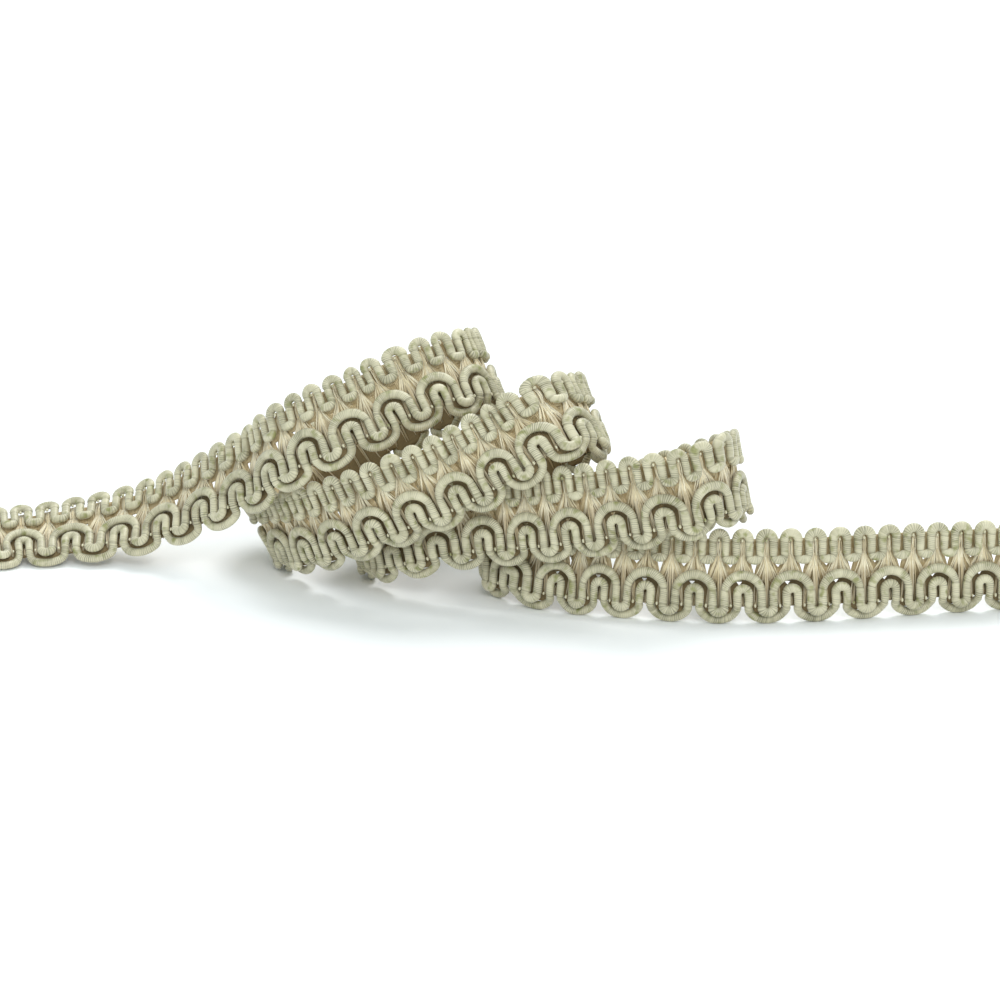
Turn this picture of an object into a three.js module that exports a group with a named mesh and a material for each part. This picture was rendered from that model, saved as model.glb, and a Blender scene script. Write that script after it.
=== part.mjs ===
// Gimp braid trim lying loosely coiled: a woven ground with three silky cords
// laid on its face in loops, arches and scallops. Millimetres, +Z up.
import * as THREE from "three";

// The trim laid flat. Heights are measured up from the scalloped edge.
const REPEAT = 8.2;
const GROUND_LOW = 3.2;
const GROUND_HIGH = 13.9;
const GROUND_THICK = 1.0;
const GROUND_STEPS = 3;
const CORD_WIDTH = 1.36;
const CORD_DEPTH = 1.24;
const CORD_RISE = 1.75;

// First and last repeat of the length that lies in the picture.
const FIRST_REPEAT = 0.4;
const LAST_REPEAT = 68.3;

// Moves the laid-out coil so that its box is centred on the origin.
const SHIFT_X = 3.05;
const SHIFT_Y = -25.13;

// Points this close to the surface are pressed flat on it.
const PRESS = 0.25;

const CORD_COLOUR = 0xb9b593;
const GROUND_COLOUR = 0xbfa67a;

// Heading cord: two narrow loops with flat feet in every repeat.
// along and up in the plane of the trim, out from the middle of the ground
const HEADING_LOOPS = [
  { along: -1.3, up: 10.8, out: CORD_RISE },
  { along: -1.15, up: 14.45, out: CORD_RISE },
  { along: 0, up: 15.5, out: CORD_RISE },
  { along: 1.15, up: 14.45, out: CORD_RISE },
  { along: 1.3, up: 10.8, out: CORD_RISE },
  { along: 2.8, up: 10.8, out: CORD_RISE },
  { along: 2.95, up: 14.45, out: CORD_RISE },
  { along: 4.1, up: 15.5, out: CORD_RISE },
  { along: 5.25, up: 14.45, out: CORD_RISE },
  { along: 5.4, up: 10.8, out: CORD_RISE },
];

// Arch cord: a narrow hanging loop and a wide arch in every repeat.
const WIDE_ARCHES = [
  { along: 0, up: 1.85, out: 1.79 },
  { along: 0.95, up: 2.85, out: CORD_RISE },
  { along: 0.95, up: 5.1, out: CORD_RISE },
  { along: 1.87, up: 7.3, out: CORD_RISE },
  { along: 4.1, up: 8.2, out: CORD_RISE },
  { along: 6.33, up: 7.3, out: CORD_RISE },
  { along: 7.25, up: 5.1, out: CORD_RISE },
  { along: 7.25, up: 2.85, out: CORD_RISE },
];

// Scallop cord: a narrow arch inside the wide one, then a wide scallop that
// drops behind the hanging loop and makes the lower edge.
const SCALLOPS = [
  { along: -0.6, up: 0.7, out: -0.1 },
  { along: 0.6, up: 0.7, out: -0.1 },
  { along: 2.2, up: 1.35, out: 0.15 },
  { along: 3.1, up: 2.9, out: CORD_RISE },
  { along: 3.1, up: 5.1, out: CORD_RISE },
  { along: 4.1, up: 6.1, out: CORD_RISE },
  { along: 5.1, up: 5.1, out: CORD_RISE },
  { along: 5.1, up: 2.9, out: CORD_RISE },
  { along: 6.0, up: 1.35, out: 0.15 },
];

// How the trim lies. The lower edge runs through x, y, z at the counted repeat;
// tilt leans the trim to the left and lean leans it back, in degrees.
const COIL = [
  // left end on the surface, face turned up
  { repeat: 0.3, x: -93.6, y: 26.0, z: 0.6, tilt: 0, lean: 74 },
  { repeat: 2, x: -80.8, y: 28.5, z: 0.6, tilt: 2, lean: 69 },
  { repeat: 4, x: -63.8, y: 28.0, z: 2.7, tilt: 14, lean: 58 },
  // first turn climbs over the second
  { repeat: 6, x: -48.4, y: 22.3, z: 9.5, tilt: 27, lean: 50 },
  { repeat: 7, x: -41.3, y: 17.2, z: 14.5, tilt: 31, lean: 50 },
  { repeat: 8, x: -34.7, y: 12.8, z: 19.95, tilt: 32, lean: 43 },
  { repeat: 9, x: -27.4, y: 11.2, z: 24.1, tilt: 30, lean: 38 },
  { repeat: 10, x: -19.4, y: 12.2, z: 27.4, tilt: 28, lean: 38 },
  { repeat: 11, x: -12.3, y: 14.2, z: 30.3, tilt: 27, lean: 38 },
  { repeat: 12, x: -5.4, y: 16.8, z: 31.8, tilt: 26, lean: 36 },
  { repeat: 13, x: -0.2, y: 21.8, z: 30.8, tilt: 27, lean: 32 },
  { repeat: 14, x: 0.0, y: 29.2, z: 27.8, tilt: 26, lean: 28 },
  { repeat: 15.6, x: -7.0, y: 39.0, z: 22.6, tilt: 24, lean: 24 },
  { repeat: 18.3, x: -23.5, y: 44.5, z: 10.6, tilt: 26, lean: 22 },
  { repeat: 20.4, x: -34.2, y: 37.8, z: 1.2, tilt: 28, lean: 22 },
  // second turn
  { repeat: 22.1, x: -37.2, y: 27.0, z: 0.0, tilt: 28, lean: 22 },
  { repeat: 23, x: -33.9, y: 20.8, z: 1.7, tilt: 27, lean: 18 },
  { repeat: 24, x: -28.7, y: 14.8, z: 4.55, tilt: 26, lean: 14 },
  { repeat: 26, x: -15.6, y: 7.6, z: 11.5, tilt: 24, lean: 7 },
  { repeat: 28, x: -1.1, y: 4.6, z: 19.0, tilt: 27, lean: 12 },
  { repeat: 29, x: 5.8, y: 4.4, z: 23.2, tilt: 27, lean: 26 },
  { repeat: 30, x: 12.8, y: 6.4, z: 27.35, tilt: 28, lean: 37 },
  { repeat: 31.1, x: 18.0, y: 14.0, z: 25.0, tilt: 28, lean: 36 },
  { repeat: 33.2, x: 13.5, y: 28.0, z: 17.6, tilt: 25, lean: 30 },
  { repeat: 36.2, x: -7.0, y: 35.4, z: 4.0, tilt: 23, lean: 21 },
  { repeat: 37.6, x: -16.6, y: 32.4, z: 0.4, tilt: 20, lean: 18 },
  // third turn
  { repeat: 39.1, x: -22.4, y: 22.8, z: 0.0, tilt: 18, lean: 18 },
  { repeat: 40, x: -19.6, y: 16.6, z: 1.5, tilt: 18, lean: 18 },
  { repeat: 42, x: -5.5, y: 9.0, z: 6.6, tilt: 14, lean: 18 },
  { repeat: 44, x: 9.2, y: 4.4, z: 9.5, tilt: 12, lean: 18 },
  { repeat: 46, x: 24.8, y: 0.6, z: 13.2, tilt: 12, lean: 12 },
  { repeat: 47, x: 32.9, y: -0.6, z: 15.2, tilt: 10, lean: 8 },
  { repeat: 47.9, x: 38.6, y: 3.0, z: 16.2, tilt: 12, lean: 8 },
  { repeat: 49, x: 41.8, y: 10.4, z: 14.6, tilt: 12, lean: 8 },
  { repeat: 51.1, x: 36.0, y: 24.4, z: 8.0, tilt: 10, lean: 8 },
  { repeat: 54.2, x: 15.0, y: 26.6, z: 0.2, tilt: 8, lean: 5 },
  // last turn and right end, standing on the surface
  { repeat: 55.3, x: 6.0, y: 24.6, z: 0.0, tilt: 6, lean: 9 },
  { repeat: 56.1, x: 0.0, y: 20.6, z: 0.0, tilt: 5, lean: 11 },
  { repeat: 56.8, x: -1.3, y: 15.2, z: 0.0, tilt: 4, lean: 13 },
  { repeat: 57.4, x: 1.2, y: 11.2, z: 0.0, tilt: 3, lean: 15 },
  { repeat: 58, x: 5.8, y: 7.6, z: 0.0, tilt: 2, lean: 17 },
  { repeat: 60, x: 20.7, y: 3.0, z: 0.0, tilt: 1, lean: 17 },
  { repeat: 62, x: 37.0, y: 0.2, z: 0.0, tilt: 0, lean: 17 },
  { repeat: 64, x: 53.7, y: 1.2, z: 0.0, tilt: 0, lean: 13 },
  { repeat: 66, x: 70.5, y: 4.4, z: 0.0, tilt: 0, lean: 9 },
  { repeat: 68.4, x: 90.0, y: 7.6, z: 0.0, tilt: 0, lean: 5 },
];

// Slope of one column of the coil at a station, weighted by its neighbours.
function slopeAt(station, column) {
  const last = COIL.length - 1;
  const before = COIL[Math.max(station - 1, 0)];
  const here = COIL[station];
  const after = COIL[Math.min(station + 1, last)];
  const rise = (a, b) => (b[column] - a[column]) / (b.repeat - a.repeat);
  if (station === 0) return rise(here, after);
  if (station === last) return rise(before, here);
  const gapBefore = here.repeat - before.repeat;
  const gapAfter = after.repeat - here.repeat;
  const weighted = rise(before, here) * gapAfter + rise(here, after) * gapBefore;
  return weighted / (gapBefore + gapAfter);
}

// Smooth value of one column of the coil at any repeat.
function coilValue(repeat, column) {
  let i = 0;
  while (i < COIL.length - 2 && repeat > COIL[i + 1].repeat) i += 1;
  const gap = COIL[i + 1].repeat - COIL[i].repeat;
  const t = (repeat - COIL[i].repeat) / gap;
  const startWeight = 1 - t * t * (3 - 2 * t);
  const startSlope = t * (1 - t) * (1 - t) * gap * slopeAt(i, column);
  const endSlope = t * t * (t - 1) * gap * slopeAt(i + 1, column);
  const from = COIL[i][column];
  const to = COIL[i + 1][column];
  return from * startWeight + to * (1 - startWeight) + startSlope + endSlope;
}

function lowerEdge(repeat) {
  const x = coilValue(repeat, "x");
  const y = coilValue(repeat, "y");
  const z = coilValue(repeat, "z");
  return new THREE.Vector3(x, y, z);
}

// Directions of the trim at a repeat: along its length, up its width, out of its face.
function trimFrame(repeat) {
  const step = 0.05;
  const tilt = THREE.MathUtils.degToRad(coilValue(repeat, "tilt"));
  const lean = THREE.MathUtils.degToRad(coilValue(repeat, "lean"));
  const along = lowerEdge(repeat + step).sub(lowerEdge(repeat - step)).normalize();
  const up = new THREE.Vector3(
    -Math.sin(tilt) * Math.cos(lean),
    Math.sin(lean),
    Math.cos(tilt) * Math.cos(lean),
  );
  up.addScaledVector(along, -up.dot(along)).normalize();
  const out = new THREE.Vector3().crossVectors(along, up);
  return { up, out };
}

// Carries a point of the flat trim on to the coil.
function onCoil(along, up, out) {
  const repeat = along / REPEAT;
  const frame = trimFrame(repeat);
  const point = lowerEdge(repeat);
  point.addScaledVector(frame.up, up).addScaledVector(frame.out, out);
  if (point.z < PRESS) point.z = 0;
  point.x += SHIFT_X;
  point.y += SHIFT_Y;
  return point;
}

// Centre line of a cord on the flat trim, cut to the length of the coil.
function cordLine(pattern) {
  const line = [];
  const start = FIRST_REPEAT * REPEAT;
  const end = LAST_REPEAT * REPEAT;
  for (let repeat = -1; repeat <= LAST_REPEAT + 1; repeat += 1) {
    for (const point of pattern) {
      const along = repeat * REPEAT + point.along;
      if (along > start && along < end) line.push({ ...point, along });
    }
  }
  return line;
}

// Bends a straight bar along a centre line: x counts its points, y is the width
// across the line and z the depth out of the trim.
function cordGeometry(line) {
  const steps = line.length - 1;
  const bar = new THREE.BoxGeometry(steps, CORD_WIDTH, CORD_DEPTH, steps, 1, 1);
  bar.translate(steps / 2, 0, 0);
  const position = bar.attributes.position;
  for (let i = 0; i < position.count; i += 1) {
    const k = Math.round(position.getX(i));
    const here = line[k];
    const before = line[Math.max(k - 1, 0)];
    const after = line[Math.min(k + 1, steps)];
    const run = new THREE.Vector2(after.along - before.along, after.up - before.up).normalize();
    const side = position.getY(i);
    const along = here.along - run.y * side;
    const up = here.up + run.x * side;
    const point = onCoil(along, up, here.out + position.getZ(i));
    position.setXYZ(i, point.x, point.y, point.z);
  }
  bar.computeVertexNormals();
  return bar;
}

// The ground is a thin straight band carried on to the coil.
function groundGeometry() {
  const columns = Math.round((LAST_REPEAT - FIRST_REPEAT) * GROUND_STEPS);
  const length = (LAST_REPEAT - FIRST_REPEAT) * REPEAT;
  const height = GROUND_HIGH - GROUND_LOW;
  const band = new THREE.BoxGeometry(length, height, GROUND_THICK, columns, 1, 1);
  band.translate(FIRST_REPEAT * REPEAT + length / 2, GROUND_LOW + height / 2, 0);
  const position = band.attributes.position;
  for (let i = 0; i < position.count; i += 1) {
    const point = onCoil(position.getX(i), position.getY(i), position.getZ(i));
    position.setXYZ(i, point.x, point.y, point.z);
  }
  band.computeVertexNormals();
  return band;
}

function addPiece(group, name, geometry, colour) {
  const material = new THREE.MeshStandardMaterial({ color: colour, roughness: 0.6 });
  const mesh = new THREE.Mesh(geometry, material);
  mesh.name = name;
  group.add(mesh);
}

const trim = new THREE.Group();
trim.name = "gimp_braid_trim";
addPiece(trim, "ground_web", groundGeometry(), GROUND_COLOUR);
addPiece(trim, "heading_cord", cordGeometry(cordLine(HEADING_LOOPS)), CORD_COLOUR);
addPiece(trim, "arch_cord", cordGeometry(cordLine(WIDE_ARCHES)), CORD_COLOUR);
addPiece(trim, "scallop_cord", cordGeometry(cordLine(SCALLOPS)), CORD_COLOUR);

export default trim;
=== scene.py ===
import math

import bmesh
import bpy
import numpy as np
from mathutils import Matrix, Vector


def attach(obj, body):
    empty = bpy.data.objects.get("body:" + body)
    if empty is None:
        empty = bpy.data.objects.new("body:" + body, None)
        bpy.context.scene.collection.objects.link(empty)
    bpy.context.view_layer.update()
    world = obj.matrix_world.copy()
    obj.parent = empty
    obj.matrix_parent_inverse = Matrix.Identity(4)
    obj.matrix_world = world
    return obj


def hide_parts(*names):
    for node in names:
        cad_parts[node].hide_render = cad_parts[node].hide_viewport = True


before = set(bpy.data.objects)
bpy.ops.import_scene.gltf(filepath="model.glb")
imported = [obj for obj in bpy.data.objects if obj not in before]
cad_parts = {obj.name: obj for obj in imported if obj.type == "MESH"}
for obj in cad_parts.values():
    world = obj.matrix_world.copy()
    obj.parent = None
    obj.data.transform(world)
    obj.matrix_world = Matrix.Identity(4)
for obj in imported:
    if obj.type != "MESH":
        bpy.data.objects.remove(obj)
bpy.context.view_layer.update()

MM = 0.001

# The flat trim, as the solids have it, and the shift of the lie to its origin
REPEAT = 8.2
FIRST_REPEAT = 0.4
LAST_REPEAT = 68.3
SHIFT_X = 3.05
SHIFT_Y = -25.13
START = FIRST_REPEAT * REPEAT
END = LAST_REPEAT * REPEAT

# Cords: half width across the path, half depth, and how far out of the trim they lie
CORD_HALF_WIDTH = 0.73
CORD_HALF_DEPTH = 0.68
CORD_OUT = 1.36
CORD_SIDES = 12

# Wrap of thread: the depth of its grooves, and the shade painted into them, vary along the cord and
# from turn to turn
WRAP_PITCH = 0.32
WRAP_DEPTH = 0.08
WRAP_SLANT = 0.16
GROOVE_SPACING = 1.3
GROOVE_SHARE = (0.35, 1.0)
GROOVE_STRAY = (0.6, 1.0)

# Stitch creases across the upright legs of the cords, at these heights, where the cords are thinner
# and painted with shade
CREASES = (13.9, 11.4, 5.7, 3.0)
CREASE_DEPTH = 0.15
CREASE_LENGTH = 0.14
UPRIGHT_FROM = 0.8
UPRIGHT_FADE = 0.12

# How full a cord is varies a little along it, and shows less in its depth
GIRTH_SPACING = 1.5
GIRTH_STRAY = 0.03
GIRTH_IN_DEPTH = 0.4

# How full each cord is at its heights on the trim
HEADING_GIRTH = ((10.9, 1.1), (11.3, 0.86), (11.9, 0.92), (13.2, 0.95), (14.6, 1.1), (15.6, 1.14))
ARCH_GIRTH = ((1.8, 1.16), (2.6, 1.08), (4.5, 0.96), (6.5, 1.0), (7.8, 1.15))
SCALLOP_GIRTH = ((0.6, 1.06), (1.8, 1.0), (3.6, 0.95), (5.2, 1.02), (5.9, 1.14))

# Heading cord: loops, and the foot between two legs, its points measured from each leg
LOOP_SPACING = REPEAT / 2
LOOP_RADIUS = 1.13
LOOP_CENTRE = 14.3
FOOT_HEIGHT = 10.95
FOOT_SAG = 0.08
FOOT_OUT = 0.14
FOOT_LEFT = [
    # along, up, out
    (0.0, 12.6, 0.0),
    (-0.02, 11.75, -0.1),
    (0.05, 11.25, 0.0),
    (0.42, FOOT_HEIGHT, 0.1),
]
FOOT_RIGHT = [
    # along, up, out
    (-0.42, FOOT_HEIGHT, 0.1),
    (-0.02, 11.35, 0.04),
    (0.0, 11.9, 0.0),
    (0.0, 12.6, 0.0),
]

# Arch cord: wide arches and narrow hanging loops, their turns in degrees
ARCH_RADIUS = 3.13
ARCH_CENTRE = 5.15
ARCH_TURN = (175, 5)
HANG_RADIUS = REPEAT / 2 - ARCH_RADIUS
HANG_CENTRE = 2.85
HANG_TURN = (200, 340)
HANG_SQUASH = 0.9
HANG_OUT = 1.5
ARCH_LEG_HEIGHTS = (HANG_CENTRE + 0.3, HANG_CENTRE + 1.2, ARCH_CENTRE - 0.2)

# Scallop cord: narrow inner arches and wide scallops, which sink back to the ground's plane
INNER_RADIUS = 0.94
INNER_CENTRE = 5.05
SCALLOP_HALF = REPEAT / 2 - INNER_RADIUS
SCALLOP_CENTRE = 2.9
SCALLOP_TURN = (183, 357)
SCALLOP_DROP = 2.18
SCALLOP_OUT = 0.05
SCALLOP_SINK_FROM = SCALLOP_CENTRE + 0.4
SCALLOP_SINK_RATE = 1.25
SCALLOP_LEG_HEIGHTS = (SCALLOP_CENTRE + 0.6, INNER_CENTRE - 0.7)

# How the trim lies: the lower edge at each counted repeat, then tilt to the left
# and lean to the back, in degrees
COIL = [
    # repeat, x, y, z, tilt, lean
    # left end on the surface, face turned up
    (0.3, -93.6, 26.0, 0.6, 0, 74),
    (2, -80.8, 28.5, 0.6, 2, 69),
    (4, -63.8, 28.0, 2.7, 14, 58),
    # first turn climbs over the second
    (6, -48.4, 22.3, 9.5, 27, 50),
    (7, -41.3, 17.2, 14.5, 31, 50),
    (8, -34.7, 12.8, 19.95, 32, 43),
    (9, -27.4, 11.2, 24.1, 30, 38),
    (10, -19.4, 12.2, 27.4, 28, 38),
    (11, -12.3, 14.2, 30.3, 27, 38),
    (12, -5.4, 16.8, 31.8, 26, 36),
    (13, -0.2, 21.8, 30.8, 27, 32),
    (14, 0.0, 29.2, 27.8, 26, 28),
    (15.6, -7.0, 39.0, 22.6, 24, 24),
    (18.3, -23.5, 44.5, 10.6, 26, 22),
    (20.4, -34.2, 37.8, 1.2, 28, 22),
    # second turn
    (22.1, -37.2, 27.0, 0.0, 28, 22),
    (23, -33.9, 20.8, 1.7, 27, 18),
    (24, -28.7, 14.8, 4.55, 26, 14),
    (26, -15.6, 7.6, 11.5, 24, 7),
    (28, -1.1, 4.6, 19.0, 27, 12),
    (29, 5.8, 4.4, 23.2, 27, 26),
    (30, 12.8, 6.4, 27.35, 28, 37),
    (31.1, 18.0, 14.0, 25.0, 28, 36),
    (33.2, 13.5, 28.0, 17.6, 25, 30),
    (36.2, -7.0, 35.4, 4.0, 23, 21),
    (37.6, -16.6, 32.4, 0.4, 20, 18),
    # third turn
    (39.1, -22.4, 22.8, 0.0, 18, 18),
    (40, -19.6, 16.6, 1.5, 18, 18),
    (42, -5.5, 9.0, 6.6, 14, 18),
    (44, 9.2, 4.4, 9.5, 12, 18),
    (46, 24.8, 0.6, 13.2, 12, 12),
    (47, 32.9, -0.6, 15.2, 10, 8),
    (47.9, 38.6, 3.0, 16.2, 12, 8),
    (49, 41.8, 10.4, 14.6, 12, 8),
    (51.1, 36.0, 24.4, 8.0, 10, 8),
    (54.2, 15.0, 26.6, 0.2, 8, 5),
    # last turn and right end, standing on the surface
    (55.3, 6.0, 24.6, 0.0, 6, 9),
    (56.1, 0.0, 20.6, 0.0, 5, 11),
    (56.8, -1.3, 15.2, 0.0, 4, 13),
    (57.4, 1.2, 11.2, 0.0, 3, 15),
    (58, 5.8, 7.6, 0.0, 2, 17),
    (60, 20.7, 3.0, 0.0, 1, 17),
    (62, 37.0, 0.2, 0.0, 0, 17),
    (64, 53.7, 1.2, 0.0, 0, 13),
    (66, 70.5, 4.4, 0.0, 0, 9),
    (68.4, 90.0, 7.6, 0.0, 0, 5),
]
STATIONS = np.array(COIL, dtype=float)
STATION_REPEATS = STATIONS[:, 0]


def station_slopes():
    """Slope of every column of the coil at its stations, weighted by the neighbours."""
    gaps = np.diff(STATION_REPEATS)[:, None]
    rises = np.diff(STATIONS, axis=0) / gaps
    inner = (rises[:-1] * gaps[1:] + rises[1:] * gaps[:-1]) / (gaps[:-1] + gaps[1:])
    return np.vstack([rises[:1], inner, rises[-1:]])


SLOPES = station_slopes()


def coil_values(repeats):
    """Smooth x, y, z, tilt and lean of the coil at an array of repeats."""
    last = len(STATION_REPEATS) - 2
    i = np.clip(np.searchsorted(STATION_REPEATS, repeats, side="left") - 1, 0, last)
    gap = (STATION_REPEATS[i + 1] - STATION_REPEATS[i])[:, None]
    t = (repeats - STATION_REPEATS[i])[:, None] / gap
    start_weight = 1 - t * t * (3 - 2 * t)
    start_slope = t * (1 - t) ** 2 * gap * SLOPES[i]
    end_slope = t * t * (t - 1) * gap * SLOPES[i + 1]
    blend = STATIONS[i] * start_weight + STATIONS[i + 1] * (1 - start_weight)
    return (blend + start_slope + end_slope)[:, 1:]


def unit(vectors):
    """The same directions with a length of one."""
    return vectors / np.linalg.norm(vectors, axis=1)[:, None]


def on_coil(flat):
    """Carries points of the flat trim (along, up, out) on to the coil, in metres."""
    step = 0.05
    repeats = flat[:, 0] / REPEAT
    here = coil_values(repeats)
    along = unit(coil_values(repeats + step)[:, :3] - coil_values(repeats - step)[:, :3])
    tilt = np.radians(here[:, 3])
    lean = np.radians(here[:, 4])
    up = np.column_stack([
        -np.sin(tilt) * np.cos(lean),
        np.sin(lean),
        np.cos(tilt) * np.cos(lean),
    ])
    up = unit(up - along * np.sum(up * along, axis=1)[:, None])
    out = np.cross(along, up)
    points = here[:, :3] + up * flat[:, 1:2] + out * flat[:, 2:3]
    points[:, 0] += SHIFT_X
    points[:, 1] += SHIFT_Y
    points[:, 2] = np.maximum(points[:, 2], 0.0)
    return points * MM


def new_mesh(name, points, faces, smooth=True):
    """One mesh object from an array of points and equal-sided faces."""
    sides = faces.shape[1]
    mesh = bpy.data.meshes.new(name)
    mesh.vertices.add(len(points))
    mesh.vertices.foreach_set("co", np.ascontiguousarray(points, dtype=np.float32).ravel())
    mesh.loops.add(faces.size)
    mesh.loops.foreach_set("vertex_index", faces.astype(np.int32).ravel())
    mesh.polygons.add(len(faces))
    starts = np.arange(0, faces.size, sides, dtype=np.int32)
    mesh.polygons.foreach_set("loop_start", starts)
    mesh.update(calc_edges=True)
    mesh.polygons.foreach_set("use_smooth", np.full(len(faces), smooth))
    piece = bpy.data.objects.new(name, mesh)
    bpy.context.scene.collection.objects.link(piece)
    return piece


def paint(piece, name, values):
    """Stores one number for each point, for the piece's material."""
    layer = piece.data.attributes.new(name, "FLOAT", "POINT")
    layer.data.foreach_set("value", np.ascontiguousarray(values, dtype=np.float32))


def arc(centre_along, centre_up, radius, start, stop, out, steps=14, squash=1.0):
    """Points of an arc on the flat trim, angles in degrees."""
    angles = np.radians(np.linspace(start, stop, steps))
    along = centre_along + radius * np.cos(angles)
    up = centre_up + radius * squash * np.sin(angles)
    return np.column_stack([along, up, np.full(steps, out)])


def legs(along, heights):
    """A leg that goes up, and its mirror image that goes down before the next repeat."""
    left = np.array([(along, height, CORD_OUT) for height in heights])
    return left, left[::-1] * (-1, 1, 1) + (REPEAT, 0, 0)


def heading_repeat():
    """One repeat of the heading cord: two loops, joined by flat feet."""
    parts = []
    for loop in range(2):
        middle = loop * LOOP_SPACING
        left_leg = (middle + LOOP_RADIUS, 0, CORD_OUT)
        right_leg = (middle + LOOP_SPACING - LOOP_RADIUS, 0, CORD_OUT)
        between = (middle + LOOP_SPACING / 2, FOOT_HEIGHT - FOOT_SAG, CORD_OUT + FOOT_OUT)
        parts += [
            arc(middle, LOOP_CENTRE, LOOP_RADIUS, 180, 0, CORD_OUT),
            np.array(FOOT_LEFT) + left_leg,
            np.array([between]),
            np.array(FOOT_RIGHT) + right_leg,
        ]
    return np.vstack(parts)


def arch_repeat():
    """One repeat of the arch cord: a hanging loop, then a wide arch."""
    hang = arc(0, HANG_CENTRE, HANG_RADIUS, *HANG_TURN, HANG_OUT, squash=HANG_SQUASH)
    arch = arc(REPEAT / 2, ARCH_CENTRE, ARCH_RADIUS, *ARCH_TURN, CORD_OUT, steps=26)
    left_leg, right_leg = legs(HANG_RADIUS, ARCH_LEG_HEIGHTS)
    return np.vstack([hang, left_leg, arch, right_leg])


def scallop_repeat():
    """One repeat of the scallop cord: a wide scallop, then a narrow inner arch."""
    squash = SCALLOP_DROP / SCALLOP_HALF
    scallop = arc(0, SCALLOP_CENTRE, SCALLOP_HALF, *SCALLOP_TURN, CORD_OUT, steps=27, squash=squash)
    drop = (SCALLOP_SINK_FROM - scallop[:, 1]) / SCALLOP_DROP
    ease = np.clip(drop * SCALLOP_SINK_RATE, 0, 1)
    ease = ease * ease * (3 - 2 * ease)
    scallop[:, 2] += (SCALLOP_OUT - CORD_OUT) * ease
    inner = arc(REPEAT / 2, INNER_CENTRE, INNER_RADIUS, 180, 0, CORD_OUT)
    left_leg, right_leg = legs(SCALLOP_HALF, SCALLOP_LEG_HEIGHTS)
    return np.vstack([scallop, left_leg, inner, right_leg])


def cord_path(pattern, first, last):
    """Repeats a pattern between two repeats, with an odd number of rings at even lengths."""
    counts = np.arange(math.floor(first) - 1, math.ceil(last) + 1)
    line = np.vstack([pattern + (count * REPEAT, 0, 0) for count in counts])
    line = smooth_line(line)
    inside = (line[:, 0] > first * REPEAT) & (line[:, 0] < last * REPEAT)
    line = line[np.argmax(inside):len(inside) - np.argmax(inside[::-1])]
    runs = np.concatenate([[0], np.cumsum(np.linalg.norm(np.diff(line, axis=0), axis=1))])
    rings = int(runs[-1] / (WRAP_PITCH / 2)) // 2 * 2 + 1
    marks = np.linspace(0, runs[-1], rings)
    return np.column_stack([np.interp(marks, runs, line[:, k]) for k in range(3)]), marks


def smooth_line(line, finer=4):
    """A finer line through the same points, with rounded corners."""
    before = np.vstack([line[:1], line[:-1]])
    after = np.vstack([line[1:], line[-1:]])
    beyond = np.vstack([after[1:], after[-1:]])
    fine = []
    for k in range(finer):
        t = k / finer
        point = 0.5 * (
            2 * line
            + (after - before) * t
            + (2 * before - 5 * line + 4 * after - beyond) * t ** 2
            + (3 * line - before - 3 * after + beyond) * t ** 3
        )
        fine.append(point)
    return np.stack(fine, axis=1).reshape(-1, 3)


def wander(random, marks, spacing, low, high):
    """Random numbers that change smoothly along a cord."""
    knots = np.arange(0, marks[-1] + 2 * spacing, spacing)
    return np.interp(marks, knots, random.uniform(low, high, len(knots)))


def wrapped_cord(name, pattern, girths, seed, first=FIRST_REPEAT, last=LAST_REPEAT):
    """A cord wrapped in thread, along its path, as one closed tube."""
    centre, marks = cord_path(pattern, first, last)
    rings = len(centre)
    tangent = unit(np.gradient(centre, axis=0))
    across = unit(np.cross(np.tile([0.0, 0.0, 1.0], (rings, 1)), tangent))
    proud = np.cross(tangent, across)
    random = np.random.default_rng(seed)
    groove = wander(random, marks, GROOVE_SPACING, *GROOVE_SHARE)
    groove = groove * random.uniform(*GROOVE_STRAY, rings)
    # ridge is 1 on the ridges and lower in the grooves; the material paints shade into the grooves
    # by it
    ridge = np.where(np.arange(rings) % 2 == 0, 1 - groove, 1.0)
    nearest = np.min([np.abs(centre[:, 1] - height) for height in CREASES], axis=0)
    upright = np.clip((np.abs(tangent[:, 1]) - UPRIGHT_FROM) / UPRIGHT_FADE, 0, 1)
    crease = np.exp(-((nearest / CREASE_LENGTH) ** 2)) * upright
    heights, fullness = np.array(girths).T
    stray = wander(random, marks, GIRTH_SPACING, -GIRTH_STRAY, GIRTH_STRAY)
    girth = np.interp(centre[:, 1], heights, fullness) + stray - CREASE_DEPTH * crease
    angles = 2 * math.pi * np.arange(CORD_SIDES) / CORD_SIDES
    half_width = (CORD_HALF_WIDTH - WRAP_DEPTH * (1 - ridge)) * girth
    half_depth = CORD_HALF_DEPTH - WRAP_DEPTH * (1 - ridge)
    half_depth = half_depth * (1 + (girth - 1) * GIRTH_IN_DEPTH)
    sideways = half_width[:, None] * np.cos(angles)
    outwards = half_depth[:, None] * np.sin(angles)
    flat = (
        centre[:, None, :]
        + across[:, None, :] * sideways[:, :, None]
        + proud[:, None, :] * outwards[:, :, None]
        + tangent[:, None, :] * (WRAP_SLANT * sideways)[:, :, None]
    )
    points = on_coil(flat.reshape(-1, 3))
    ring = np.arange(rings - 1)[:, None] * CORD_SIDES
    side = np.arange(CORD_SIDES)
    following = (side + 1) % CORD_SIDES
    faces = np.stack([
        ring + side,
        ring + following,
        ring + following + CORD_SIDES,
        ring + side + CORD_SIDES,
    ], axis=2).reshape(-1, 4)
    piece = new_mesh(name, points, faces)
    close_ends(piece, rings)
    ring_values = {
        "ridge": ridge,
        "crease": crease,
        "tone": random.uniform(0, 1, rings // 2 + 1).repeat(2)[:rings],
    }
    for key, values in ring_values.items():
        paint(piece, key, np.repeat(values, CORD_SIDES))
    return piece


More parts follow.
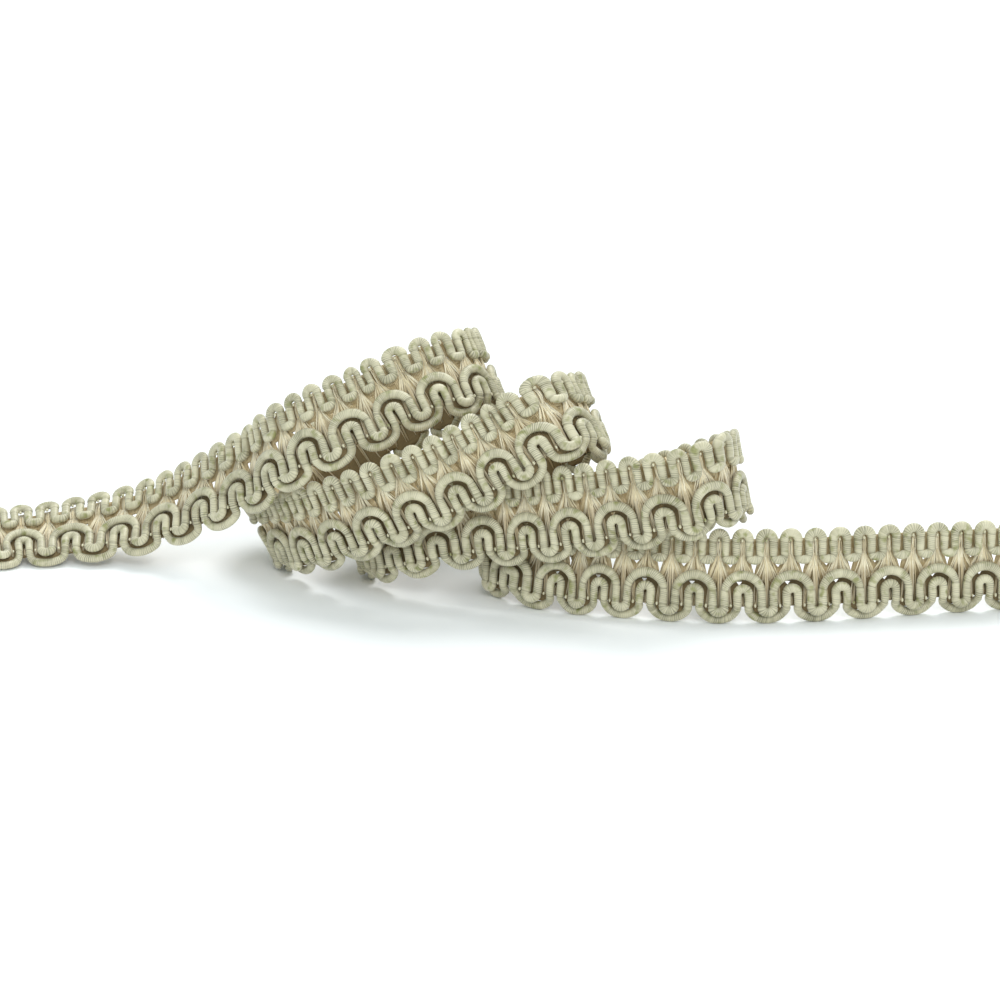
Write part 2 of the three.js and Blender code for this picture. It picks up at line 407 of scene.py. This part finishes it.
def close_ends(piece, rings):
    """Closes both cut ends of a cord with a flat face."""
    work = bmesh.new()
    work.from_mesh(piece.data)
    work.verts.ensure_lookup_table()
    first = [work.verts[k] for k in range(CORD_SIDES)]
    last = [work.verts[(rings - 1) * CORD_SIDES + k] for k in range(CORD_SIDES)]
    work.faces.new(first[::-1])
    work.faces.new(last)
    bmesh.ops.recalc_face_normals(work, faces=work.faces)
    work.to_mesh(piece.data)
    work.free()


# Ground: its heights on the trim, and its columns in each repeat and rows
GROUND_LOW = 1.7
GROUND_HIGH = 15.0
GROUND_HALF_THICK = 0.2
GROUND_COLUMNS = 16
GROUND_ROWS = 22
COLUMN = REPEAT / GROUND_COLUMNS
ROW = (GROUND_HIGH - GROUND_LOW) / GROUND_ROWS

# Swell of the ground: one wave for each heading loop, and so many radians a millimetre up
GROUND_WAVE = 0.08
GROUND_WAVE_RISE = 0.9

# Edges of the ground: a tab inside each heading loop, a tongue behind each hanging loop
TAB_HALF = 0.9
TONGUE_HALF = 2.4
TONGUE_TOP = 2.9

# Small gaps where light shows through the ground: triangles two columns wide, point down
GAPS = [
    # middle column, lowest row, highest row
    (12, 11, 14),
    (4, 13, 14),
    (7, 8, 9),
]

# How far beside a gap the cloth is drawn in, and how nearly its sides meet at its point
GAP_REACH = 2.5 * COLUMN
GAP_CLOSING = 0.9
HALF_ROW = 0.5


def distance_from(along, spacing):
    """Distance along the trim to the nearest multiple of a spacing."""
    return np.abs(np.mod(along + spacing / 2, spacing) - spacing / 2)


def between_gaps(along, up):
    """True where a point of the flat ground is cloth, and not one of its small gaps."""
    cloth = (up < LOOP_CENTRE) | (distance_from(along, LOOP_SPACING) < TAB_HALF)
    cloth &= (up > TONGUE_TOP) | (distance_from(along, REPEAT) < TONGUE_HALF)
    row = (up - GROUND_LOW) / ROW
    for middle, low, high in GAPS:
        near = distance_from(along - middle * COLUMN, REPEAT) < COLUMN
        cloth &= ~((row > low) & (row < high) & near)
    return cloth


def narrow_gaps(along, up):
    """Draws the sides of each gap together towards its point."""
    row = (up - GROUND_LOW) / ROW
    moved = along.copy()
    for middle, low, high in GAPS:
        away = np.mod(along - middle * COLUMN + REPEAT / 2, REPEAT) - REPEAT / 2
        near = np.abs(away)
        inside = (row > low - HALF_ROW) & (row < high + HALF_ROW)
        closed = np.clip((high - row) / (high - low), 0, GAP_CLOSING) * inside
        ease = np.clip((GAP_REACH - near) / (GAP_REACH - COLUMN), 0, 1)
        moved -= np.sign(away) * np.minimum(near, COLUMN) * closed * ease
    return moved


def ground_cloth():
    """The thin woven ground, with its small gaps cut out, as one closed sheet."""
    along = np.arange(math.ceil(START / COLUMN), math.floor(END / COLUMN) + 1) * COLUMN
    columns = len(along) - 1
    up = np.linspace(GROUND_LOW, GROUND_HIGH, GROUND_ROWS + 1)
    grid_along, grid_up = np.meshgrid(along, up, indexing="ij")
    flat_along, flat_up = grid_along.ravel(), grid_up.ravel()
    wave = GROUND_WAVE * np.sin(2 * math.pi * flat_along / LOOP_SPACING)
    wave = wave * np.sin(flat_up * GROUND_WAVE_RISE)
    count = len(flat_along)
    front = np.column_stack([flat_along, flat_up, wave + GROUND_HALF_THICK])
    back = np.column_stack([flat_along, flat_up, wave - GROUND_HALF_THICK])
    rows = GROUND_ROWS + 1
    cell = (np.arange(columns)[:, None] * rows + np.arange(GROUND_ROWS)).ravel()
    middle_along = (flat_along[cell] + flat_along[cell + rows]) / 2
    middle_up = (flat_up[cell] + flat_up[cell + 1]) / 2
    cell = cell[between_gaps(middle_along, middle_up)]
    flat_along = narrow_gaps(flat_along, flat_up)
    front[:, 0] = flat_along
    back[:, 0] = flat_along
    front_faces = np.column_stack([cell, cell + rows, cell + rows + 1, cell + 1])
    back_faces = front_faces[:, ::-1] + count
    edges = np.vstack([front_faces[:, [k, (k + 1) % 4]] for k in range(4)])
    keys = np.sort(edges, axis=1)
    keys = keys[:, 0] * count + keys[:, 1]
    _, first_seen, seen = np.unique(keys, return_index=True, return_counts=True)
    rim = edges[first_seen[seen == 1]]
    rim_faces = np.column_stack([rim[:, 1], rim[:, 0], rim[:, 0] + count, rim[:, 1] + count])
    points = on_coil(np.vstack([front, back]))
    faces = np.vstack([front_faces, back_faces, rim_faces])
    used = np.unique(faces)
    lookup = np.zeros(2 * count, dtype=int)
    lookup[used] = np.arange(len(used))
    piece = new_mesh("ground_cloth", points[used], lookup[faces])
    paint(piece, "run", np.tile(flat_along, 2)[used])
    paint(piece, "height", np.tile(flat_up, 2)[used])
    return piece


# Ground threads: bundles that leave each heading loop and spread over the ground
BUNDLES = [
    # top along, top up, bottom along, bottom up, spread top, spread bottom, out, threads
    (4.1, 14.6, 4.1, 11.3, 0.32, 0.5, 0.85, 9),
    (0.0, 14.6, -0.1, 11.3, 0.32, 0.5, 0.85, 9),
    (4.0, 11.7, 3.9, 7.7, 0.55, 2.5, 0.6, 24),
    (0.0, 11.7, -1.1, 7.0, 0.45, 1.3, 0.6, 12),
    (0.1, 11.7, 1.3, 7.2, 0.45, 1.2, 0.6, 12),
    (0.0, 11.7, 0.1, 2.6, 0.4, 0.4, 0.75, 9),
    (1.6, 7.9, 2.1, 2.9, 0.35, 0.2, 0.7, 7),
    (6.6, 7.9, 6.15, 2.9, 0.3, 0.18, 0.65, 5),
    (4.1, 5.0, 4.1, 2.9, 0.25, 0.25, 0.6, 4),
]

# Threads: how each is made, how thick it is, and how it strays from its bundle's fan
THREAD_SEGMENTS = 5
THREAD_SIDES = 3
THREAD_PIECES = 2
THREAD_RADII = (0.09, 0.16)
THREAD_TIP = 0.35
THREAD_STRAY = 0.12
THREAD_FAN = 1.35
THREAD_END_MARGIN = 0.2

# Threads rise over the ground in a low hump, which is cut short at its two ends
THREAD_REST = 0.22
THREAD_LEAST_RISE = 0.25
THREAD_RISE = (0.2, 1.0)
THREAD_TUCK = 0.08

# The back has this many times fewer threads, but at least so many in each bundle
BACK_FEWER = 3
BACK_LEAST = 2

# Bright knots: one in each heading loop, one at each side of a hanging loop
KNOT_RINGS = 7
KNOT_SIDES = 8
KNOT_TIP = 0.25
KNOT_SIZES = (0.85, 1.15)
KNOT_STRAY = 0.06
KNOT_TONE = 1.4
KNOTS = [
    # along, up, out, half width, half height
    (-0.08, 14.15, 1.3, 0.24, 0.32),
    (4.02, 14.15, 1.3, 0.24, 0.32),
    (2.06, 3.1, 1.3, 0.2, 0.32),
    (6.14, 3.1, 1.3, 0.2, 0.32),
]


def thread_lines():
    """Centre lines of all ground threads on the flat trim, front and back."""
    random = np.random.default_rng(7)
    t = np.linspace(0, 1, THREAD_SEGMENTS + 1)
    hump = np.sin(math.pi * np.clip(t, THREAD_TUCK, 1 - THREAD_TUCK))
    lines = []
    for count in range(math.floor(FIRST_REPEAT), math.ceil(LAST_REPEAT) + 1):
        for top_along, top_up, low_along, low_up, top_half, low_half, out, threads in BUNDLES:
            for face in (1, -1):
                for _ in range(threads if face > 0 else max(BACK_LEAST, threads // BACK_FEWER)):
                    place = random.uniform(-1, 1)
                    start = top_along + place * top_half
                    finish = low_along + place * low_half + random.normal(0, THREAD_STRAY)
                    bow = random.normal(0, THREAD_STRAY)
                    fan = t ** THREAD_FAN
                    along = start + (finish - start) * fan + bow * np.sin(math.pi * t)
                    up = top_up + (low_up - top_up) * t + random.normal(0, THREAD_STRAY)
                    rise = (out - THREAD_LEAST_RISE) * random.uniform(*THREAD_RISE)
                    rise = rise + THREAD_LEAST_RISE
                    level = THREAD_REST + (rise - THREAD_REST) * hump
                    lines.append(np.column_stack([along + count * REPEAT, up, face * level]))
    lines = np.array(lines)
    after_start = lines[:, :, 0].min(axis=1) > START + THREAD_END_MARGIN
    before_end = lines[:, :, 0].max(axis=1) < END - THREAD_END_MARGIN
    return lines[after_start & before_end]


def tubes(name, lines, radii, sides, tint):
    """Many short open-ended tubes, each along a line of as many points, as one mesh."""
    count, rings, _ = lines.shape
    tangent = np.gradient(lines, axis=1)
    tangent /= np.linalg.norm(tangent, axis=2)[:, :, None]
    proud = np.zeros_like(tangent)
    proud[:, :, 2] = 1.0
    across = np.cross(proud, tangent)
    across /= np.linalg.norm(across, axis=2)[:, :, None]
    proud = np.cross(tangent, across)
    # a quarter step turns a flat side of a three-sided thread to the front
    quarter = 0.25
    angles = 2 * math.pi * (np.arange(sides) + quarter) / sides
    ring_points = (
        lines[:, :, None, :]
        + across[:, :, None, :] * np.cos(angles)[:, None] * radii[:, :, None, None]
        + proud[:, :, None, :] * np.sin(angles)[:, None] * radii[:, :, None, None]
    )
    points = on_coil(ring_points.reshape(-1, 3))
    base = (np.arange(count)[:, None] * rings + np.arange(rings - 1)).ravel()[:, None] * sides
    side = np.arange(sides)
    following = (side + 1) % sides
    faces = np.stack([
        base + side,
        base + following,
        base + following + sides,
        base + side + sides,
    ], axis=2).reshape(-1, 4)
    piece = new_mesh(name, points, faces)
    paint(piece, "tint", np.repeat(tint, rings * sides))
    paint(piece, "height", np.repeat(lines[:, :, 1].ravel(), sides))
    return piece


def ground_threads():
    """The beige threads of the ground, thin and slightly uneven."""
    lines = thread_lines()
    random = np.random.default_rng(8)
    thick = random.uniform(*THREAD_RADII, len(lines))
    taper = np.ones(THREAD_SEGMENTS + 1)
    taper[[0, -1]] = THREAD_TIP
    radii = thick[:, None] * taper
    tint = random.uniform(0, 1, len(lines))
    size = (END - START) / THREAD_PIECES
    pieces = []
    for part in range(THREAD_PIECES):
        share = (lines[:, 0, 0] - START) // size == part
        name = f"ground_threads_{part + 1}"
        pieces.append(tubes(name, lines[share], radii[share], THREAD_SIDES, tint[share]))
    return pieces


def bright_knots():
    """Small bright knots of the cord's thread, as one mesh of beads with tiny open tips."""
    rings, sides = KNOT_RINGS, KNOT_SIDES
    turn = 2 * math.pi * np.arange(sides) / sides
    slice_up = np.cos(np.linspace(KNOT_TIP, math.pi - KNOT_TIP, rings))
    slice_out = np.sqrt(1 - slice_up ** 2)
    random = np.random.default_rng(21)
    points, faces = [], []
    for count in range(math.ceil(FIRST_REPEAT), math.floor(LAST_REPEAT)):
        for along, up, out, half_width, half_height in KNOTS:
            size = random.uniform(*KNOT_SIZES)
            centre = np.array([along + count * REPEAT, up + random.normal(0, KNOT_STRAY), out])
            bead = np.stack([
                slice_out[:, None] * np.cos(turn) * half_width * size,
                np.repeat(slice_up[:, None], sides, axis=1) * half_height * size,
                slice_out[:, None] * np.sin(turn) * half_width,
            ], axis=2)
            base = len(points) * rings * sides
            points.append((centre + bead).reshape(-1, 3))
            for ring in range(rings - 1):
                row = base + ring * sides
                for side in range(sides):
                    after = (side + 1) % sides
                    corners = (row + side, row + side + sides, row + after + sides, row + after)
                    faces.append(corners)
    points = on_coil(np.vstack(points))
    piece = new_mesh("bright_knots", points, np.array(faces))
    paint(piece, "ridge", np.ones(len(points)))
    paint(piece, "crease", np.zeros(len(points)))
    paint(piece, "tone", np.full(len(points), KNOT_TONE))
    return piece


def material(name):
    """A new material with its nodes and links."""
    made = bpy.data.materials.new(name)
    made.use_nodes = True
    return made, made.node_tree.nodes, made.node_tree.links


def attribute(nodes, name):
    """The number that paint() stored under a name."""
    node = nodes.new("ShaderNodeAttribute")
    node.attribute_name = name
    return node.outputs["Fac"]


def mix(nodes, links, factor, low, high):
    """Mixes two colours by a factor; a colour may be a socket or an RGB tuple."""
    node = nodes.new("ShaderNodeMix")
    node.data_type = "RGBA"
    links.new(factor, node.inputs[0])
    for socket, value in ((node.inputs[6], low), (node.inputs[7], high)):
        if isinstance(value, tuple):
            socket.default_value = (*value, 1.0)
        else:
            links.new(value, socket)
    return node.outputs[2]


def spread(nodes, links, value, low, high):
    """Maps low..high of a value to 0..1."""
    node = nodes.new("ShaderNodeMapRange")
    node.inputs["From Min"].default_value = low
    node.inputs["From Max"].default_value = high
    links.new(value, node.inputs["Value"])
    return node.outputs["Result"]


def noise(nodes, links, scale, detail=2.0):
    """Noise fixed to the piece, its scale in waves to a metre."""
    place = nodes.new("ShaderNodeTexCoord")
    node = nodes.new("ShaderNodeTexNoise")
    node.inputs["Scale"].default_value = scale
    node.inputs["Detail"].default_value = detail
    links.new(place.outputs["Object"], node.inputs["Vector"])
    return node.outputs["Fac"]


# Colours of the cords, the painted shade of their grooves and creases, and the scales of their
# clouds, green patches and fine fibres
CORD_LIGHT = (0.66, 0.615, 0.43)
CORD_MID = (0.25, 0.23, 0.125)
CORD_GROOVE_PAINTED_SHADE = (0.05, 0.043, 0.022)
CORD_GREEN = (0.29, 0.29, 0.11)
CORD_CREASE_PAINTED_SHADE = (0.12, 0.105, 0.05)
CORD_CLOUDS = 260.0
CORD_PATCHES = 700.0
CORD_FIBRES = 9000.0


def cord_material():
    """Silky wrapped thread: light ridges, painted shade in the grooves and stitch creases, a green
    cast in places.
    """
    made, nodes, links = material("silky_cord")
    shader = nodes["Principled BSDF"]
    ridge = attribute(nodes, "ridge")
    cloudy = spread(nodes, links, noise(nodes, links, CORD_CLOUDS), 0.3, 0.7)
    patchy = spread(nodes, links, noise(nodes, links, CORD_PATCHES, 1.0), 0.56, 0.76)
    body = mix(nodes, links, cloudy, CORD_MID, CORD_LIGHT)
    toned = mix(nodes, links, spread(nodes, links, attribute(nodes, "tone"), -0.6, 1.4),
                body, CORD_LIGHT)
    green = mix(nodes, links, patchy, toned, CORD_GREEN)
    # painted shade in the grooves between the turns of the wrap
    grooved = mix(nodes, links, spread(nodes, links, ridge, -0.15, 0.8), CORD_GROOVE_PAINTED_SHADE, green)
    # painted shade in the stitch creases
    crease = spread(nodes, links, attribute(nodes, "crease"), 0.35, 1.5)
    links.new(mix(nodes, links, crease, grooved, CORD_CREASE_PAINTED_SHADE), shader.inputs["Base Color"])
    shader.inputs["Roughness"].default_value = 0.4
    shader.inputs["Specular IOR Level"].default_value = 0.55
    shader.inputs["Sheen Weight"].default_value = 0.3
    shader.inputs["Sheen Roughness"].default_value = 0.4
    fine = nodes.new("ShaderNodeBump")
    fine.inputs["Strength"].default_value = 0.25
    fine.inputs["Distance"].default_value = 0.00005
    links.new(noise(nodes, links, CORD_FIBRES), fine.inputs["Height"])
    links.new(fine.outputs["Normal"], shader.inputs["Normal"])
    return made


# Colours of the ground threads, and the painted shade that darkens them between these heights and
# below
THREAD_LIGHT = (0.98, 0.89, 0.66)
THREAD_MID = (0.88, 0.75, 0.48)
THREAD_PAINTED_SHADE = (0.36, 0.24, 0.10)
THREAD_GREY = (0.66, 0.56, 0.36)
THREAD_SHADE_HEIGHTS = (9.2, 8.0)
THREAD_SHADE_SHARE = 0.4


def thread_material():
    """Beige ground threads: some light, a few grey, with painted shade from the arches down."""
    made, nodes, links = material("beige_thread")
    shader = nodes["Principled BSDF"]
    tint = attribute(nodes, "tint")
    light = mix(nodes, links, spread(nodes, links, tint, 0.15, 0.6), THREAD_MID, THREAD_LIGHT)
    grey = mix(nodes, links, spread(nodes, links, tint, 0.85, 0.95), light, THREAD_GREY)
    # painted shade on the threads from the arches down, in the crevices between the cords
    low = spread(nodes, links, attribute(nodes, "height"), *THREAD_SHADE_HEIGHTS)
    shade = nodes.new("ShaderNodeMath")
    shade.operation = "MULTIPLY"
    shade.inputs[1].default_value = THREAD_SHADE_SHARE
    links.new(low, shade.inputs[0])
    links.new(mix(nodes, links, shade.outputs[0], grey, THREAD_PAINTED_SHADE), shader.inputs["Base Color"])
    shader.inputs["Roughness"].default_value = 0.55
    shader.inputs["Sheen Weight"].default_value = 0.3
    return made


# Colours of the ground behind the threads, and the painted shade over it between these heights and
# below
CLOTH_LIGHT = (0.93, 0.81, 0.54)
CLOTH_DARK = (0.52, 0.39, 0.20)
CLOTH_PAINTED_SHADE = (0.26, 0.19, 0.09)
CLOTH_SHADE_HEIGHTS = (9.0, 7.4)
CLOTH_CLOUDS = 700.0
WEAVE_PITCH = 0.26


def cloth_material():
    """The ground behind the threads: fine upright threads, with painted shade from the arches down.
    """
    made, nodes, links = material("woven_ground")
    shader = nodes["Principled BSDF"]
    run = attribute(nodes, "run")
    wave = nodes.new("ShaderNodeMath")
    wave.operation = "SINE"
    finer = nodes.new("ShaderNodeMath")
    finer.operation = "MULTIPLY"
    finer.inputs[1].default_value = 2 * math.pi / WEAVE_PITCH
    links.new(run, finer.inputs[0])
    links.new(finer.outputs[0], wave.inputs[0])
    thread = spread(nodes, links, wave.outputs[0], -1.0, 1.0)
    cloudy = spread(nodes, links, noise(nodes, links, CLOTH_CLOUDS), 0.3, 0.7)
    body = mix(nodes, links, cloudy, CLOTH_DARK, CLOTH_LIGHT)
    woven = mix(nodes, links, thread, CLOTH_DARK, body)
    # painted shade on the ground from the arches down, in the crevices between the cords
    low = spread(nodes, links, attribute(nodes, "height"), *CLOTH_SHADE_HEIGHTS)
    links.new(mix(nodes, links, low, woven, CLOTH_PAINTED_SHADE), shader.inputs["Base Color"])
    shader.inputs["Roughness"].default_value = 0.75
    bump = nodes.new("ShaderNodeBump")
    bump.inputs["Strength"].default_value = 0.7
    bump.inputs["Distance"].default_value = 0.0001
    links.new(thread, bump.inputs["Height"])
    links.new(bump.outputs["Normal"], shader.inputs["Normal"])
    return made


def dress(piece, made, slot_name, *nodes):
    """Gives a piece its material and body, and hides the solids that it stands for."""
    piece.data.materials.append(made)
    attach(piece, "root")
    if nodes:
        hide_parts(*nodes)


def build_trim():
    """Makes every piece of the trim and dresses it."""
    silky = cord_material()
    middle = (FIRST_REPEAT + LAST_REPEAT) / 2
    heading = [
        wrapped_cord("heading_cord_left", heading_repeat(), HEADING_GIRTH, seed=11, last=middle),
        wrapped_cord("heading_cord_right", heading_repeat(), HEADING_GIRTH, seed=12, first=middle),
    ]
    for piece in heading:
        dress(piece, silky, "cord", "heading_cord")
    arches = wrapped_cord("arch_cord_wrapped", arch_repeat(), ARCH_GIRTH, seed=13)
    dress(arches, silky, "cord", "arch_cord")
    scallops = wrapped_cord("scallop_cord_wrapped", scallop_repeat(), SCALLOP_GIRTH, seed=14)
    dress(scallops, silky, "cord", "scallop_cord")
    cloth = ground_cloth()
    dress(cloth, cloth_material(), "ground", "ground_web")
    beige = thread_material()
    threads = ground_threads()
    for piece in threads:
        dress(piece, beige, "ground")
    knots = bright_knots()
    dress(knots, silky, "cord")


# Camera: it looks down by this tilt at a target, for a picture of this many pixels
CAMERA_TILT = 18.0
CAMERA_DISTANCE = 520.0
FOCAL_PIXELS = 3062.8
PICTURE_PIXELS = 1000
SENSOR = 36.0
TARGET_Y = 6.506
TARGET_Z = 20.022


def add_camera():
    tilt = math.radians(CAMERA_TILT)
    target = Vector((SHIFT_X, TARGET_Y + SHIFT_Y, TARGET_Z))
    forward = Vector((0, math.cos(tilt), -math.sin(tilt)))
    data = bpy.data.cameras.new("camera")
    data.sensor_width = SENSOR
    data.lens = FOCAL_PIXELS / PICTURE_PIXELS * SENSOR
    data.clip_start = 0.01
    data.clip_end = 20.0
    camera = bpy.data.objects.new("camera", data)
    bpy.context.scene.collection.objects.link(camera)
    camera.rotation_euler = forward.to_track_quat("-Z", "Y").to_euler()
    camera.location = (target - forward * CAMERA_DISTANCE) * MM
    bpy.context.scene.camera = camera


def add_floor():
    half = 3.0
    points = np.array([(-half, -half, 0), (half, -half, 0), (half, half, 0), (-half, half, 0)])
    floor = new_mesh("floor", points, np.array([[0, 1, 2, 3]]), smooth=False)
    made, nodes, _ = material("white_floor")
    shader = nodes["Principled BSDF"]
    shader.inputs["Base Color"].default_value = (0.93, 0.94, 0.95, 1.0)
    shader.inputs["Roughness"].default_value = 0.6
    floor.data.materials.append(made)


def add_area(name, place, size, power, aim=(0, 0, 0.015)):
    data = bpy.data.lights.new(name, "AREA")
    data.shape = "RECTANGLE"
    data.size, data.size_y = size
    data.energy = power
    light = bpy.data.objects.new(name, data)
    light.location = place
    light.rotation_euler = (Vector(aim) - Vector(place)).to_track_quat("-Z", "Y").to_euler()
    bpy.context.scene.collection.objects.link(light)


def add_lights():
    world = bpy.data.worlds.new("studio")
    world.use_nodes = True
    background = world.node_tree.nodes["Background"]
    background.inputs["Color"].default_value = (0.90, 0.98, 0.99, 1.0)
    background.inputs["Strength"].default_value = 0.84
    bpy.context.scene.world = world
    add_area("top", (0.5, 1.1, 2.2), (1.2, 1.2), 33.0)
    add_area("front", (0.3, -1.2, 1.1), (0.6, 0.6), 7.0)
    bpy.context.scene.view_settings.view_transform = "Standard"


build_trim()
add_floor()
add_camera()
add_lights()
